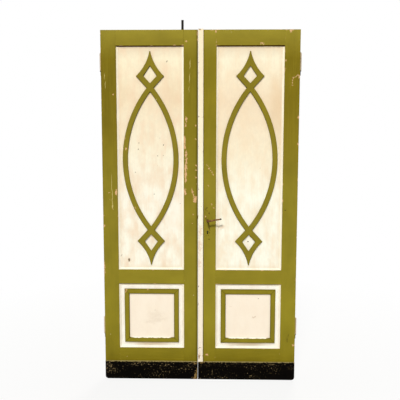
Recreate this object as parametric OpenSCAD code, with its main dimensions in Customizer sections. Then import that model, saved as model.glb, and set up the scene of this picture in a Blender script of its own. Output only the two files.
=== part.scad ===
/* [Leaves] */
// Height of both leaves
leaf_h = 2300; // [2000:10:2600]
// Width of the left leaf
left_leaf_w = 622; // [560:1:760]
// Width of the right leaf
right_leaf_w = 647; // [580:1:780]
// Thickness of the stiles and rails
leaf_t = 40; // [34:1:50]
// Gap between the meeting edges of the closed leaves
meeting_gap = 3; // [2.8:0.1:5]

/* [Stiles and rails] */
// Width of each outer stile, which carries the hinges
hinge_stile_w = 98; // [80:1:130]
// Width of the left leaf's meeting stile
left_meeting_stile_w = 91; // [80:1:130]
// Width of the right leaf's meeting stile, which holds the lock
right_meeting_stile_w = 116; // [106:1:150]
// Height of the top rails
top_rail_h = 97; // [80:1:150]
// Height of the middle rails
middle_rail_h = 94; // [70:1:140]
// Height of the middle rails' lower edge
middle_rail_z = 655; // [560:1:800]
// Height of the bottom rails
bottom_rail_h = 213; // [160:1:260]
// Radius of the worn outer bottom corners
foot_r = 20; // [4:1:30]

/* [Joinery] */
// Thickness of the panels and of the tenons, which share one groove
panel_t = 12; // [9:0.5:15]
// Depth of the groove for the panels
groove_d = 12; // [8:1:16]
// Room for the panels to swell at the bottom of the groove
panel_room = 2; // [1:0.5:4]
// Length of the tenons
tenon_l = 55; // [40:1:70]
// Room at the bottom of a mortise
mortise_room = 1; // [0.5:0.5:3]
// Height of the haunch beside the top and bottom tenons
haunch_h = 28; // [15:1:40]
// Clearance on each side of a wooden joint
joint_clear = 0.15; // [0.05:0.05:0.3]
// Gap at the mitres and butt joints of the trim
trim_gap = 0.1; // [0.05:0.05:0.3]

/* [Panel beads] */
// Width of the bevelled bead round each panel
bead_w = 13; // [8:0.5:18]
// Height of the bead against the frame
bead_h = 9; // [5:0.5:12]
// Height of the bead's inner edge
bead_lip = 1.5; // [0.5:0.5:3]
// Width of the flat on top of the bead
bead_flat = 2.5; // [1:0.5:4]

/* [Fretwork] */
// Thickness of the fretwork
fret_t = 9; // [5:0.5:12]
// Panel left clear on each side of the bows
fret_side_margin = 34.5; // [25:0.5:60]
// Panel left clear above and below the finials
fret_end_margin = 34; // [25:0.5:60]
// Width of the strip that the bows are cut from
bow_strip_w = 33.5; // [24:0.5:42]
// Height from the crotch of the bows to the neck of the finials
neck_h = 25; // [20:1:30]
// Height of a finial from its neck to its tip
finial_h = 232; // [200:1:260]
// Width of a finial across its corners
finial_w = 182; // [150:1:220]
// Height of a finial's corners above its neck
finial_corner_h = 75; // [60:1:90]
// Width of the blunt tip
finial_tip_w = 6; // [3:0.5:10]
// Radius of the hollow sides between corner and tip
finial_curve_r = 284; // [240:1:400]
// Width of the pierced diamond
diamond_w = 86; // [60:1:100]
// Height of the diamond's lower point above the neck
diamond_low_h = 30; // [24:1:40]
// Height of the diamond's side points above the neck
diamond_side_h = 76; // [60:1:90]
// Height of the diamond's upper point above the neck
diamond_top_h = 139; // [110:1:150]

/* [Square moulding] */
// Width of the moulding on the lower panels
moulding_w = 32.5; // [20:0.5:45]
// Thickness of the moulding
moulding_t = 10; // [6:0.5:14]
// Radius of the moulding's front edges
moulding_r = 4; // [1:0.5:5]
// Panel left clear at the sides of the moulding
moulding_side_margin = 35; // [20:1:60]
// Panel left clear above and below the moulding
moulding_end_margin = 38; // [20:1:60]

/* [Kick boards and cover strip] */
// Height of the kick boards
kick_h = 124; // [90:1:160]
// Thickness of the kick boards
kick_t = 7; // [5:0.5:12]
// Width of the strip along the right leaf's meeting edge
strip_w = 33; // [26:1:45]
// Thickness of the strip
strip_t = 11; // [8:0.5:13]
// Radius of the strip's front edges
strip_r = 4; // [1:0.5:5]
// How far the strip stands above the leaf
strip_rise = 3; // [0:0.5:6]

/* [Hinges] */
// Radius of the knuckles
knuckle_r = 9; // [8:0.5:10]
// Length of the knuckles without their caps
knuckle_l = 108; // [90:1:130]
// Height of the tapered cap on a knuckle
cap_h = 8; // [4:1:14]
// Radius at the top of the cap
cap_r = 5; // [3:0.5:7]
// Radius of the hinge pins
pin_r = 5; // [4:0.5:6]
// Running clearance round the pins
pin_clear = 0.08; // [0.03:0.01:0.1]
// Depth of the pin's bore in a knuckle
bore_l = 90; // [60:1:100]
// Room above the end of a pin
bore_room = 2; // [1:0.5:4]
// Distance of the hinge axis outside the leaf's edge
axis_out = 7; // [4:0.5:12]
// Gap between a knuckle and the back of the leaf
knuckle_gap = 0.5; // [0.3:0.1:2]
// Thickness of the hinge blades
blade_t = 3; // [2:0.5:4]
// Depth of a blade in the stile
blade_l = 60; // [40:1:70]
// Distance from the back of the leaf to a blade
blade_inset = 5; // [3:0.5:9]
// How far a blade stops short of the knuckle's ends
blade_end = 8; // [4:1:16]
// Radius of the collar that carries a knuckle
collar_r = 8.5; // [7:0.5:9]
// Thickness of the collar
collar_t = 4; // [3:0.5:6]
// Running gap between collar and knuckle
collar_gap = 0.3; // [0.2:0.1:0.5]
// Radius of the pin's free end below the collar
stub_r = 4.5; // [3.5:0.5:6]
// Length of the pin's free end
stub_l = 26; // [16:1:40]
// Distance from the top of the leaf to the upper knuckle
top_hinge_drop = 134; // [120:1:300]
// Height of the lower knuckle above the foot of the leaf
bottom_hinge_z = 300; // [260:1:420]

/* [Lock] */
// Distance from the meeting edge to the spindle and keyhole
backset = 62; // [54:1:64]
// Height of the spindle
spindle_z = 1080; // [950:1:1150]
// Height from the keyhole to the spindle
lock_centres = 76; // [70:1:92]
// Depth of the lock case behind its forend
case_l = 86; // [84:1:88]
// Thickness of the lock case
case_t = 16; // [14:0.5:18]
// Thickness of the case's walls and cover
case_wall = 1.6; // [1:0.2:2]
// Height of the case above the spindle
case_above = 46; // [40:1:60]
// Height of the case below the keyhole
case_below = 32; // [24:1:50]
// Room round the case in its mortise
case_room = 0.4; // [0.2:0.1:1]
// Width of the forend and of the strike plate
forend_w = 22; // [20:1:26]
// Thickness of the forend and of the strike plate
forend_t = 3; // [2:0.5:4]
// Length of the forend beyond each end of the case
forend_end = 34; // [20:1:50]
// Clearance round the sliding bolts
slide_clear = 0.3; // [0.2:0.1:0.5]
// Width of the round part of the keyhole
key_d = 8.6; // [8:0.2:10]
// Width of the keyhole's slot
key_slot_w = 5; // [4.6:0.2:7]
// Height of the keyhole's slot below its round part
key_slot_h = 13; // [10:1:16]

/* [Bolts of the lock] */
// Thickness of the latch and the dead bolt
lock_bolt_t = 12; // [10:0.5:12]
// Height of the latch
latch_h = 24; // [20:1:30]
// Height of the latch's lower edge above the spindle
latch_low = 9; // [8:1:12]
// How far the latch stands out of the forend
latch_out = 11; // [9:0.5:12]
// Length of the latch's head inside the lock
latch_head_l = 22; // [16:1:26]
// Height of the latch's tail
tail_h = 8; // [6:1:10]
// Thickness of the latch's tail
tail_t = 4; // [3:0.5:5]
// Height of the tail above the latch's lower edge
tail_up = 3; // [2:0.5:6]
// Length of the lug that the follower pushes
lug_l = 5; // [4:0.5:6]
// Gap between the lug and the follower's arm
lug_gap = 0.6; // [0.4:0.1:1]
// Height of the dead bolt
dead_bolt_h = 28; // [22:1:30]
// Height of the dead bolt's lower edge above the keyhole
dead_bolt_low = 12; // [11:1:14]
// Length of the dead bolt's head
dead_bolt_head_l = 32; // [26:1:38]
// Length of the dead bolt's tail
dead_bolt_tail_l = 40; // [34:1:44]
// Width of the talon notch that the key's bit turns in
talon_w = 10; // [8:1:12]
// Height of the talon notch
talon_h = 8; // [6:1:10]
// How deep the retracted dead bolt lies in the forend
dead_bolt_in = 0.5; // [0:0.1:1]

/* [Levers] */
// Radius of the follower in the lock
follower_r = 8.5; // [7.5:0.1:8.8]
// Clearance round the follower
follower_clear = 0.1; // [0.05:0.05:0.2]
// Width of the follower's arm
follower_arm_w = 8; // [6:0.5:9]
// Height of the follower's arm above its centre
follower_arm_h = 18; // [16:0.5:18]
// Width of the square spindle
spindle_w = 8; // [7:0.5:9]
// Clearance round the spindle
spindle_clear = 0.08; // [0.03:0.01:0.1]
// Length of the spindle
spindle_l = 92; // [80:1:100]
// Radius of the levers' necks
neck_r = 7; // [6.8:0.1:8]
// Clearance round the necks in the stile
neck_clear = 0.5; // [0.3:0.1:1]
// Distance from the leaf's face to the middle of a lever
lever_stand = 45; // [40:1:60]
// Length of a lever from its neck to its tip
lever_l = 92; // [80:1:120]
// Radius of a lever beside its neck
lever_root_r = 6; // [5:0.5:7]
// Radius of a lever near its tip
lever_end_r = 4.6; // [3.6:0.1:6]
// Radius of the rounded tip
lever_tip_r = 5.4; // [4:0.1:6.5]
// Angle that the levers rise towards their tips
lever_rise = 10.4; // [0:0.1:20]

/* [Strike plate] */
// Clearance round the latch in the strike plate
strike_clear = 0.8; // [0.6:0.1:2]
// Clearance round the dead bolt in the strike plate
dead_bolt_play = 2.5; // [1:0.5:4]
// Length of the strike plate beyond the holes
strike_end = 24; // [15:1:40]
// Depth of the pockets behind the strike plate
strike_pocket = 20; // [16:1:26]

/* [Surface bolts] */
// Distance from the left leaf's meeting edge to the surface bolts
bolt_inset = 100; // [80:1:130]
// Width of the bolt bars
bar_w = 15; // [10:0.5:18]
// Thickness of the bolt bars
bar_t = 9; // [6:0.5:11]
// Clearance round the bars in their guides
bar_clear = 0.3; // [0.2:0.1:0.5]
// How far the shot top bolt stands above the leaf
top_bolt_out = 69; // [40:1:90]
// How far the drawn bottom bolt lies inside the leaf
bottom_bolt_in = 1; // [0.5:0.5:5]
// Length of the bars below or above the leaf's end
bar_l = 150; // [130:1:180]
// Width of the bolt plates
plate_w = 40; // [32:1:50]
// Thickness of the bolt plates
plate_t = 3; // [2:0.5:4]
// Length of the bolt plates
plate_l = 92; // [80:1:96]
// Distance from the leaf's end to a bolt plate
plate_in = 4; // [2:1:10]
// Height of the guides on a bolt plate
guide_h = 12; // [8:1:16]
// Wall of the guides
guide_wall = 3; // [2:0.5:5]
// Radius of the bolts' knobs
knob_r = 8; // [6:0.5:10]
// Radius of the knobs' stems
stem_r = 4; // [3:0.5:5]
// Height of the knobs over the bars
knob_h = 15; // [10:1:20]
// Distance from the inner end of a bar to its knob
knob_in = 10; // [10:1:20]

/* [Hidden] */
$fn = 96;
eps = 1;

// Paints and metals
green_paint = "#8b7f27";
cream_paint = "#f3e8d3";
black_paint = "#1d1a17";
aged_iron = "#6b4f38";
black_iron = "#141312";
steel = "#8d8b86";

// Each leaf is drawn from its hinge edge, where X is 0, to its meeting edge
pair_w = left_leaf_w + meeting_gap + right_leaf_w;
left = [left_leaf_w, left_meeting_stile_w];
right = [right_leaf_w, right_meeting_stile_w];
function opening_w(leaf) = leaf[0] - hinge_stile_w - leaf[1];
function opening_x(leaf) = hinge_stile_w + opening_w(leaf) / 2;
front_y = -leaf_t / 2;
back_y = leaf_t / 2;

// Rails: lower edge, upper edge, groove below, groove above
middle_rail_top = middle_rail_z + middle_rail_h;
bottom_rail_spec = [0, bottom_rail_h, false, true];
middle_rail_spec = [middle_rail_z, middle_rail_top, true, true];
top_rail_spec = [leaf_h - top_rail_h, leaf_h, true, false];
rail_specs = [bottom_rail_spec, middle_rail_spec, top_rail_spec];
function haunch_low(rail) = rail[0] + (rail[2] ? groove_d : 0);
function haunch_high(rail) = rail[1] - (rail[3] ? groove_d : 0);
function tenon_low(rail) = rail[0] + (rail[2] ? groove_d : haunch_h);
function tenon_high(rail) = rail[1] - (rail[3] ? groove_d : haunch_h);
groove_w = panel_t + 2 * joint_clear;

// Panel openings: lower edge, upper edge
upper_opening = [middle_rail_top, leaf_h - top_rail_h];
lower_opening = [bottom_rail_h, middle_rail_z];
function opening_h(opening) = opening[1] - opening[0];
function opening_z(opening) = (opening[0] + opening[1]) / 2;
panel_front = -panel_t / 2;

// Fretwork, measured from the middle of the upper panel
finial_tip_z = opening_h(upper_opening) / 2 - fret_end_margin;
neck_z = finial_tip_z - finial_h;
crotch_z = neck_z - neck_h;
function bow_inner_x(leaf) = opening_w(leaf) / 2 - fret_side_margin - bow_strip_w;
function bow_inner_r(leaf) = (pow(bow_inner_x(leaf), 2) + pow(crotch_z, 2)) / (2 * bow_inner_x(leaf));
function bow_outer_r(leaf) = bow_inner_r(leaf) + bow_strip_w;
function bow_centre_x(leaf) = bow_inner_x(leaf) - bow_inner_r(leaf);
function neck_half_w(leaf) = bow_centre_x(leaf) + sqrt(pow(bow_outer_r(leaf), 2) - pow(neck_z, 2));
finial_corner = [finial_w / 2, neck_z + finial_corner_h];
finial_tip = [finial_tip_w / 2, finial_tip_z];
finial_chord = finial_tip - finial_corner;
finial_hollow = [finial_chord[1], -finial_chord[0]] / norm(finial_chord);
finial_hollow_d = sqrt(pow(finial_curve_r, 2) - pow(norm(finial_chord) / 2, 2));
finial_curve_centre = (finial_corner + finial_tip) / 2 + finial_hollow * finial_hollow_d;

// Hinges
axis_y = back_y + knuckle_gap + knuckle_r;
top_hinge_z = leaf_h - top_hinge_drop - cap_h - knuckle_l;
blade_y = back_y - blade_inset - blade_t;

// Lock, measured in the right leaf
edge_x = right_leaf_w;
spindle_x = edge_x - backset;
key_z = spindle_z - lock_centres;
case_x = edge_x - forend_t - case_l;
case_back = case_t / 2;
case_low_z = key_z - case_below;
case_high_z = spindle_z + case_above;
latch_z = spindle_z + latch_low;
tail_z = latch_z + tail_up;
lug_x = spindle_x - follower_arm_w / 2 - lug_gap;
lug_half_t = case_back - case_wall - 2 * slide_clear;
follower_arm_t = 2 * lug_half_t - tail_t - 2 * slide_clear;
dead_bolt_z = key_z + dead_bolt_low;
dead_bolt_x = edge_x - dead_bolt_in;
lever_y = back_y + lever_stand;
neck_in_y = case_back + case_room;

// Strike plate, measured in the left leaf
strike_x = left_leaf_w - forend_t;
strike_low_z = dead_bolt_z - dead_bolt_play - strike_end;
strike_high_z = latch_z + latch_h + strike_clear + strike_end;

// Surface bolts, measured in the left leaf
bolt_x = left_leaf_w - bolt_inset;
bar_y = back_y + plate_t + bar_clear;
guide_t = bar_t + 2 * bar_clear + guide_wall;

// Places
module in_left_leaf() {
    translate([-pair_w / 2, 0, 0])
        children();
}

module in_right_leaf() {
    translate([pair_w / 2, 0, 0])
        mirror([1, 0, 0])
            children();
}

module in_opening(leaf, opening) {
    translate([opening_x(leaf), panel_front, opening_z(opening)])
        children();
}

// Basic forms
module block(low, high) {
    translate(low)
        cube(high - low);
}

// An outline drawn in X and Z, which stands t proud of the plane y towards the front
module raised(y, t) {
    translate([0, y, 0])
        rotate([90, 0, 0])
            linear_extrude(t)
                children();
}

// A board's outline with its outer bottom corner worn round
module worn_outline(w, h) {
    translate([0, foot_r])
        square([w, h - foot_r]);
    translate([foot_r, 0])
        square([w - foot_r, foot_r]);
    translate([foot_r, foot_r])
        circle(foot_r);
}

// The section of a strip with both front edges rounded
module rounded_section(w, t, r) {
    square([w, t - r]);
    translate([r, 0])
        square([w - 2 * r, t]);
    for (x = [r, w - r])
        translate([x, t - r])
            circle(r);
}

// Four mitred sticks round a rectangle; the section is drawn inwards from its outer edge
module mitred_frame(w, h, stick_w, stick_t) {
    for (i = [0:3]) {
        along = i % 2 == 0 ? w : h;
        reach = (i % 2 == 0 ? h : w) / 2;
        half = along / 2 - trim_gap / sqrt(2);
        rotate([0, 90 * i, 0])
            translate([0, 0, -reach])
                intersection() {
                    mirror([0, 1, 0])
                        rotate([0, -90, 0])
                            linear_extrude(along, center = true)
                                children();
                    raised(eps, stick_t + 2 * eps)
                        polygon([[-half, 0], [half, 0], [half - stick_w, stick_w], [stick_w - half, stick_w]]);
                }
    }
}

// Stiles and rails
// What the rails and panels take out of a stile whose inner face is at X 0
module rail_sockets() {
    block([-eps, -groove_w / 2, -eps], [groove_d, groove_w / 2, leaf_h + eps]);
    for (rail = rail_specs)
        block(
            [-eps, -groove_w / 2, tenon_low(rail) - joint_clear],
            [tenon_l + mortise_room, groove_w / 2, tenon_high(rail) + joint_clear]
        );
}

module blade_slot(z) {
    block(
        [-eps, blade_y - joint_clear, z + blade_end - joint_clear],
        [blade_l + joint_clear, blade_y + blade_t + joint_clear, z + knuckle_l - blade_end + joint_clear]
    );
}

module hinge_stile() {
    color(green_paint)
        difference() {
            raised(back_y, leaf_t)
                worn_outline(hinge_stile_w, leaf_h);
            translate([hinge_stile_w, 0, 0])
                mirror([1, 0, 0])
                    rail_sockets();
            blade_slot(top_hinge_z);
            blade_slot(bottom_hinge_z);
        }
}

module stile_blank(leaf) {
    difference() {
        block([leaf[0] - leaf[1], front_y, 0], [leaf[0], back_y, leaf_h]);
        translate([leaf[0] - leaf[1], 0, 0])
            rail_sockets();
    }
}

module left_meeting_stile() {
    color(green_paint)
        difference() {
            stile_blank(left);
            block([strike_x, -forend_w / 2, strike_low_z], [left_leaf_w + eps, forend_w / 2, strike_high_z]);
            strike_holes(strike_pocket);
        }
}

module right_meeting_stile() {
    color(green_paint)
        difference() {
            stile_blank(right);
            block(
                [case_x - case_room, -case_back - case_room, case_low_z - case_room],
                [edge_x, case_back + case_room, case_high_z + case_room]
            );
            block(
                [edge_x - forend_t, -forend_w / 2, case_low_z - forend_end],
                [edge_x + eps, forend_w / 2, case_high_z + forend_end]
            );
            through_hole(neck_r + neck_clear);
            keyhole();
        }
}

module through_hole(r) {
    translate([spindle_x, 0, spindle_z])
        rotate([90, 0, 0])
            cylinder(r = r, h = leaf_t + 2 * eps, center = true);
}

// The keyhole, cut from the front of the leaf into the lock case
module keyhole() {
    inside_y = case_wall - case_back + eps;
    translate([spindle_x, 0, key_z])
        raised(inside_y, inside_y - front_y + eps) {
            translate([0, key_slot_h / 2 - key_d / 4])
                circle(d = key_d);
            translate([-key_slot_w / 2, -key_slot_h / 2 - key_d / 4])
                square([key_slot_w, key_slot_h]);
        }
}

module rail(leaf, spec) {
    start_x = hinge_stile_w;
    end_x = leaf[0] - leaf[1];
    haunch_l = groove_d - joint_clear;
    color(green_paint)
        difference() {
            union() {
                block([start_x, front_y, spec[0]], [end_x, back_y, spec[1]]);
                block(
                    [start_x - haunch_l, -panel_t / 2, haunch_low(spec)],
                    [end_x + haunch_l, panel_t / 2, haunch_high(spec)]
                );
                block(
                    [start_x - tenon_l, -panel_t / 2, tenon_low(spec)],
                    [end_x + tenon_l, panel_t / 2, tenon_high(spec)]
                );
            }
            if (spec[2])
                block([start_x - eps, -groove_w / 2, spec[0] - eps], [end_x + eps, groove_w / 2, spec[0] + groove_d]);
            if (spec[3])
                block([start_x - eps, -groove_w / 2, spec[1] - groove_d], [end_x + eps, groove_w / 2, spec[1] + eps]);
        }
}

module top_rail(leaf) {
    rail(leaf, top_rail_spec);
}

module middle_rail(leaf) {
    rail(leaf, middle_rail_spec);
}

module bottom_rail(leaf) {
    rail(leaf, bottom_rail_spec);
}

// Panels and their trim
module panel(leaf, opening) {
    tongue = groove_d - panel_room;
    color(cream_paint)
        block(
            [hinge_stile_w - tongue, -panel_t / 2, opening[0] - tongue],
            [hinge_stile_w + opening_w(leaf) + tongue, panel_t / 2, opening[1] + tongue]
        );
}

module beads(leaf, opening) {
    color(cream_paint)
        in_opening(leaf, opening)
            mitred_frame(opening_w(leaf), opening_h(opening), bead_w, bead_h)
                polygon([[0, 0], [bead_w, 0], [bead_w, bead_lip], [bead_flat, bead_h], [0, bead_h]]);
}

module finial_outline(leaf) {
    base = [neck_half_w(leaf), neck_z + trim_gap];
    difference() {
        polygon([
            base, finial_corner, finial_tip,
            [-finial_tip[0], finial_tip[1]], [-finial_corner[0], finial_corner[1]], [-base[0], base[1]]
        ]);
        for (side = [-1, 1])
            translate([side * finial_curve_centre[0], finial_curve_centre[1]])
                circle(finial_curve_r);
        polygon([
            [0, neck_z + diamond_low_h], [diamond_w / 2, neck_z + diamond_side_h],
            [0, neck_z + diamond_top_h], [-diamond_w / 2, neck_z + diamond_side_h]
        ]);
    }
}

module top_finial(leaf) {
    color(green_paint)
        in_opening(leaf, upper_opening)
            raised(0, fret_t)
                finial_outline(leaf);
}

module bottom_finial(leaf) {
    color(green_paint)
        in_opening(leaf, upper_opening)
            raised(0, fret_t)
                mirror([0, 1])
                    finial_outline(leaf);
}

module bow_outline(leaf) {
    intersection() {
        translate([bow_centre_x(leaf), 0])
            difference() {
                circle(bow_outer_r(leaf));
                circle(bow_inner_r(leaf));
            }
        translate([trim_gap / 2, -neck_z])
            square([opening_w(leaf) / 2, 2 * neck_z]);
    }
}

// The bow beside the meeting stile
module inner_bow(leaf) {
    color(green_paint)
        in_opening(leaf, upper_opening)
            raised(0, fret_t)
                bow_outline(leaf);
}

// The bow beside the hinge stile
module outer_bow(leaf) {
    color(green_paint)
        in_opening(leaf, upper_opening)
            raised(0, fret_t)
                mirror([1, 0])
                    bow_outline(leaf);
}

module square_moulding(leaf) {
    color(green_paint)
        in_opening(leaf, lower_opening)
            mitred_frame(
                opening_w(leaf) - 2 * moulding_side_margin,
                opening_h(lower_opening) - 2 * moulding_end_margin,
                moulding_w,
                moulding_t
            )
                rounded_section(moulding_w, moulding_t, moulding_r);
}

module kick_board(leaf) {
    color(black_paint)
        raised(front_y, kick_t)
            worn_outline(leaf[0], kick_h);
}

module cover_strip() {
    color(cream_paint)
        translate([edge_x - strip_w, front_y, kick_h])
            linear_extrude(leaf_h + strip_rise - kick_h)
                mirror([0, 1])
                    rounded_section(strip_w, strip_t, strip_r);
}

// Hinges
module hinge(z) {
    color(cream_paint)
        difference() {
            union() {
                translate([-axis_out, axis_y, z])
                    cylinder(r = knuckle_r, h = knuckle_l);
                translate([-axis_out, axis_y, z + knuckle_l])
                    cylinder(r1 = knuckle_r, r2 = cap_r, h = cap_h);
                block([-blade_t, blade_y, z + blade_end], [0, axis_y, z + knuckle_l - blade_end]);
                block([-blade_t, blade_y, z + blade_end], [blade_l, blade_y + blade_t, z + knuckle_l - blade_end]);
            }
            translate([-axis_out, axis_y, z - eps])
                cylinder(r = pin_r + pin_clear, h = bore_l + eps);
        }
}

module hinge_pin(z) {
    color(black_iron)
        translate([-axis_out, axis_y, z - collar_gap]) {
            cylinder(r = pin_r, h = bore_l + collar_gap - bore_room);
            translate([0, 0, -collar_t])
                cylinder(r = collar_r, h = collar_t);
            translate([0, 0, -collar_t - stub_l])
                cylinder(r = stub_r, h = stub_l);
        }
}

// Lock
module latch_hole(x0, x1, clear) {
    block(
        [x0, -lock_bolt_t / 2 - clear, latch_z - clear],
        [x1, lock_bolt_t / 2 + clear, latch_z + latch_h + clear]
    );
}

module dead_bolt_hole(x0, x1, clear) {
    block(
        [x0, -lock_bolt_t / 2 - clear, dead_bolt_z - clear],
        [x1, lock_bolt_t / 2 + clear, dead_bolt_z + dead_bolt_h + clear]
    );
}

module follower_hole() {
    through_hole(follower_r + follower_clear);
}

module lock_case() {
    color(steel)
        difference() {
            block([case_x, -case_back, case_low_z], [edge_x - forend_t, case_back - case_wall, case_high_z]);
            block(
                [case_x + case_wall, case_wall - case_back, case_low_z + case_wall],
                [edge_x - forend_t - case_wall, case_back, case_high_z - case_wall]
            );
            latch_hole(edge_x - forend_t - case_wall - eps, edge_x, slide_clear);
            dead_bolt_hole(edge_x - forend_t - case_wall - eps, edge_x, slide_clear);
            follower_hole();
            keyhole();
        }
}

module lock_cover() {
    color(steel)
        difference() {
            block([case_x, case_back - case_wall, case_low_z], [edge_x - forend_t, case_back, case_high_z]);
            follower_hole();
        }
}

module lock_forend() {
    color(steel)
        difference() {
            block(
                [edge_x - forend_t, -forend_w / 2, case_low_z - forend_end],
                [edge_x, forend_w / 2, case_high_z + forend_end]
            );
            latch_hole(edge_x - forend_t - eps, edge_x + eps, slide_clear);
            dead_bolt_hole(edge_x - forend_t - eps, edge_x + eps, slide_clear);
        }
}

module spindle_socket(from_y, to_y) {
    half = spindle_w / 2 + spindle_clear;
    block([spindle_x - half, from_y, spindle_z - half], [spindle_x + half, to_y, spindle_z + half]);
}

module follower() {
    color(steel)
        difference() {
            union() {
                translate([spindle_x, 0, spindle_z])
                    rotate([90, 0, 0])
                        cylinder(r = follower_r, h = case_t, center = true);
                block(
                    [spindle_x - follower_arm_w / 2, -lug_half_t, spindle_z],
                    [spindle_x + follower_arm_w / 2, follower_arm_t - lug_half_t, spindle_z + follower_arm_h]
                );
            }
            spindle_socket(-case_t, case_t);
        }
}

module spindle() {
    color(steel)
        block(
            [spindle_x - spindle_w / 2, -spindle_l / 2, spindle_z - spindle_w / 2],
            [spindle_x + spindle_w / 2, spindle_l / 2, spindle_z + spindle_w / 2]
        );
}

// The lever on the front; its arm runs from the neck towards the panel
module lever() {
    difference() {
        translate([spindle_x, 0, spindle_z]) {
            translate([0, -neck_in_y, 0])
                rotate([90, 0, 0])
                    cylinder(r = neck_r, h = lever_y - neck_in_y);
            translate([0, -lever_y, 0]) {
                sphere(neck_r);
                rotate([0, lever_rise - 90, 0]) {
                    cylinder(r1 = lever_root_r, r2 = lever_end_r, h = lever_l - lever_tip_r);
                    translate([0, 0, lever_l - lever_tip_r])
                        sphere(lever_tip_r);
                }
            }
        }
        spindle_socket(-spindle_l / 2 - spindle_clear, -neck_in_y + eps);
    }
}

module front_lever() {
    color(aged_iron)
        lever();
}

module rear_lever() {
    color(aged_iron)
        mirror([0, 1, 0])
            lever();
}

module latch() {
    head_x = edge_x - latch_head_l;
    half_t = lock_bolt_t / 2;
    color(steel) {
        translate([0, 0, latch_z])
            linear_extrude(latch_h)
                polygon([
                    [head_x, -half_t], [edge_x, -half_t], [edge_x + latch_out, half_t - tail_t],
                    [edge_x + latch_out, half_t], [head_x, half_t]
                ]);
        block([lug_x - lug_l, lug_half_t - tail_t, tail_z], [head_x + eps, lug_half_t, tail_z + tail_h]);
        block([lug_x - lug_l, -lug_half_t, latch_z], [lug_x, lug_half_t, tail_z + tail_h]);
    }
}

module dead_bolt() {
    head_x = dead_bolt_x - dead_bolt_head_l;
    half_t = lock_bolt_t / 2;
    tail_half_t = tail_t / 2;
    color(steel)
        difference() {
            union() {
                block([head_x, -half_t, dead_bolt_z], [dead_bolt_x, half_t, dead_bolt_z + dead_bolt_h]);
                block(
                    [head_x - dead_bolt_tail_l, -tail_half_t, dead_bolt_z],
                    [head_x + eps, tail_half_t, dead_bolt_z + dead_bolt_h]
                );
            }
            block(
                [spindle_x - talon_w / 2, -half_t, dead_bolt_z - eps],
                [spindle_x + talon_w / 2, half_t, dead_bolt_z + talon_h]
            );
        }
}

// The holes that the latch and the dead bolt shoot into
module strike_holes(depth) {
    translate([strike_x - edge_x - depth, 0, 0]) {
        latch_hole(edge_x, edge_x + depth + forend_t + eps, strike_clear);
        dead_bolt_hole(edge_x, edge_x + depth + forend_t + eps, dead_bolt_play);
    }
}

module strike_plate() {
    color(steel)
        difference() {
            block([strike_x, -forend_w / 2, strike_low_z], [left_leaf_w, forend_w / 2, strike_high_z]);
            strike_holes(eps);
        }
}

// Surface bolts, drawn at the top of the leaf with Z counted upwards from its end
module bolt_plate() {
    half_w = bar_w / 2 + bar_clear;
    color(black_iron)
        translate([bolt_x, back_y, 0])
            difference() {
                union() {
                    block([-plate_w / 2, 0, -plate_in - plate_l], [plate_w / 2, plate_t, -plate_in]);
                    for (z = [-plate_in - plate_l, -plate_in - guide_h])
                        block(
                            [-half_w - guide_wall, 0, z],
                            [half_w + guide_wall, plate_t + guide_t, z + guide_h]
                        );
                }
                block([-half_w, plate_t, -plate_in - plate_l - eps], [half_w, plate_t + guide_t - guide_wall, eps]);
            }
}

module bolt_bar(out) {
    color(black_iron) {
        block([bolt_x - bar_w / 2, bar_y, -bar_l], [bolt_x + bar_w / 2, bar_y + bar_t, out]);
        translate([bolt_x, bar_y + bar_t, knob_in - bar_l])
            rotate([-90, 0, 0]) {
                cylinder(r = stem_r, h = knob_h - knob_r);
                translate([0, 0, knob_h - knob_r])
                    sphere(knob_r);
            }
    }
}

module top_bolt_plate() {
    translate([0, 0, leaf_h])
        bolt_plate();
}

module top_bolt_bar() {
    translate([0, 0, leaf_h])
        bolt_bar(top_bolt_out);
}

module bottom_bolt_plate() {
    mirror([0, 0, 1])
        bolt_plate();
}

module bottom_bolt_bar() {
    mirror([0, 0, 1])
        bolt_bar(-bottom_bolt_in);
}

in_left_leaf() hinge_stile();  // left_hinge_stile
in_left_leaf() left_meeting_stile();
in_left_leaf() top_rail(left);  // left_top_rail
in_left_leaf() middle_rail(left);  // left_middle_rail
in_left_leaf() bottom_rail(left);  // left_bottom_rail
in_left_leaf() panel(left, upper_opening);  // left_upper_panel
in_left_leaf() panel(left, lower_opening);  // left_lower_panel
in_left_leaf() beads(left, upper_opening);  // left_upper_beads
in_left_leaf() beads(left, lower_opening);  // left_lower_beads
in_left_leaf() top_finial(left);  // left_top_finial
in_left_leaf() bottom_finial(left);  // left_bottom_finial
in_left_leaf() outer_bow(left);  // left_outer_bow
in_left_leaf() inner_bow(left);  // left_inner_bow
in_left_leaf() square_moulding(left);  // left_square_moulding
in_left_leaf() kick_board(left);  // left_kick_board
in_left_leaf() hinge(top_hinge_z);  // left_top_hinge
in_left_leaf() hinge(bottom_hinge_z);  // left_bottom_hinge
in_right_leaf() hinge_stile();  // right_hinge_stile
in_right_leaf() right_meeting_stile();
in_right_leaf() top_rail(right);  // right_top_rail
in_right_leaf() middle_rail(right);  // right_middle_rail
in_right_leaf() bottom_rail(right);  // right_bottom_rail
in_right_leaf() panel(right, upper_opening);  // right_upper_panel
in_right_leaf() panel(right, lower_opening);  // right_lower_panel
in_right_leaf() beads(right, upper_opening);  // right_upper_beads
in_right_leaf() beads(right, lower_opening);  // right_lower_beads
in_right_leaf() top_finial(right);  // right_top_finial
in_right_leaf() bottom_finial(right);  // right_bottom_finial
in_right_leaf() outer_bow(right);  // right_outer_bow
in_right_leaf() inner_bow(right);  // right_inner_bow
in_right_leaf() square_moulding(right);  // right_square_moulding
in_right_leaf() kick_board(right);  // right_kick_board
in_right_leaf() hinge(top_hinge_z);  // right_top_hinge
in_right_leaf() hinge(bottom_hinge_z);  // right_bottom_hinge
in_right_leaf() cover_strip();
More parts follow.
